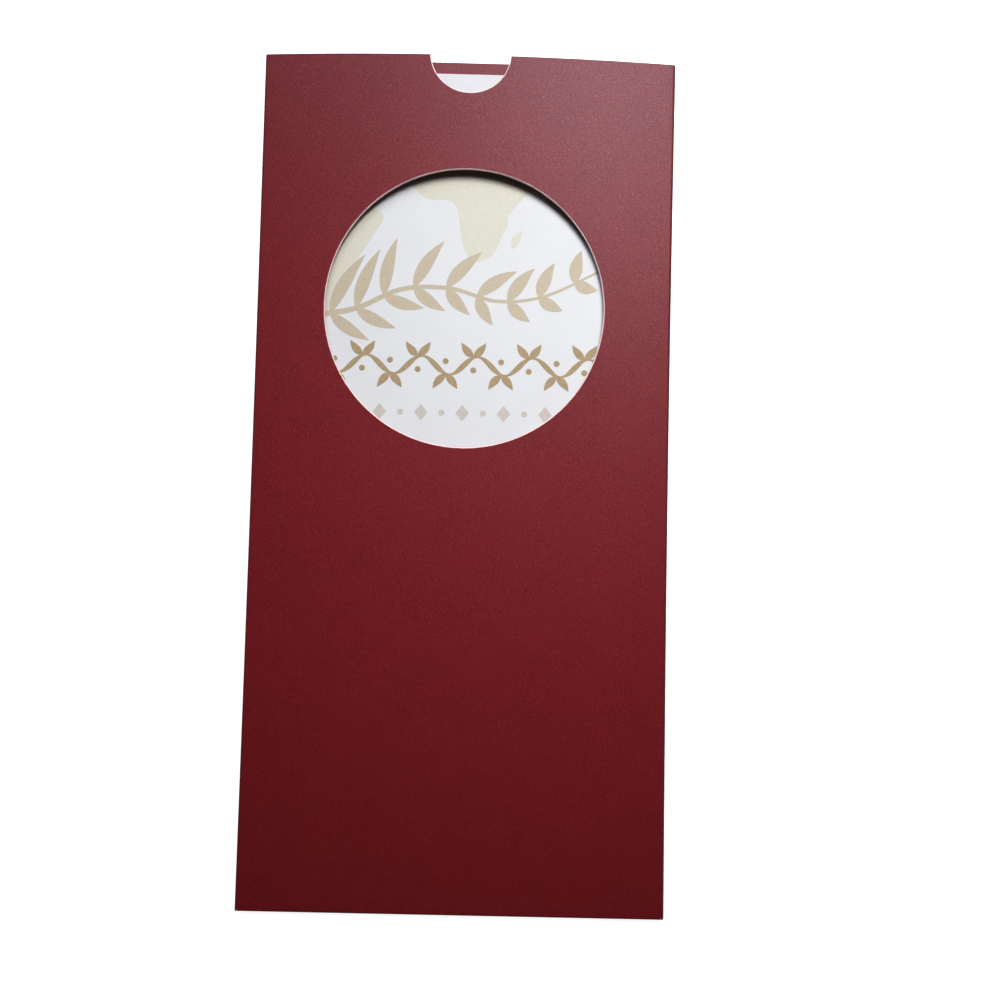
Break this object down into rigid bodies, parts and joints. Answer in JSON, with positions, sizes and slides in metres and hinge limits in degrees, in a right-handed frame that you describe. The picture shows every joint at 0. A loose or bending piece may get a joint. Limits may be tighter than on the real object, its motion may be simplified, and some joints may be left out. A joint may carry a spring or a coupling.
{
  "type": "pocket invitation with a slip-in card",
  "caption": "Card sleeve glued along one side and its foot, with a domed front, a round window and a thumb notch, holding a flat card that slides out of its open end.",
  "frame": {"origin": "middle of the footprint, on the surface that the back panel lies on", "axes": "+Y along the sleeve towards its open mouth, +Z out of the front panel, +X to the right seen from the front"},
  "size_m": [0.105, 0.2146, 0.004],
  "materials": {
    "pearl_card": "burgundy pearlescent card with a soft sheen",
    "print_card": "smooth cool white card with a pale printed ornament",
    "seam_tape": "double-sided tape"
  },
  "bodies": {
    "sleeve": {"sleeve": "pearl_card", "side_seam_tape": "seam_tape", "bottom_seam_tape": "seam_tape"},
    "insert": {"insert_card": "print_card"}
  },
  "joints": [
    {"name": "insert_slide", "type": "slide", "parent": "sleeve", "child": "insert", "axis": [0, 1, 0], "range_m": [0, 0.216]}
  ]
}
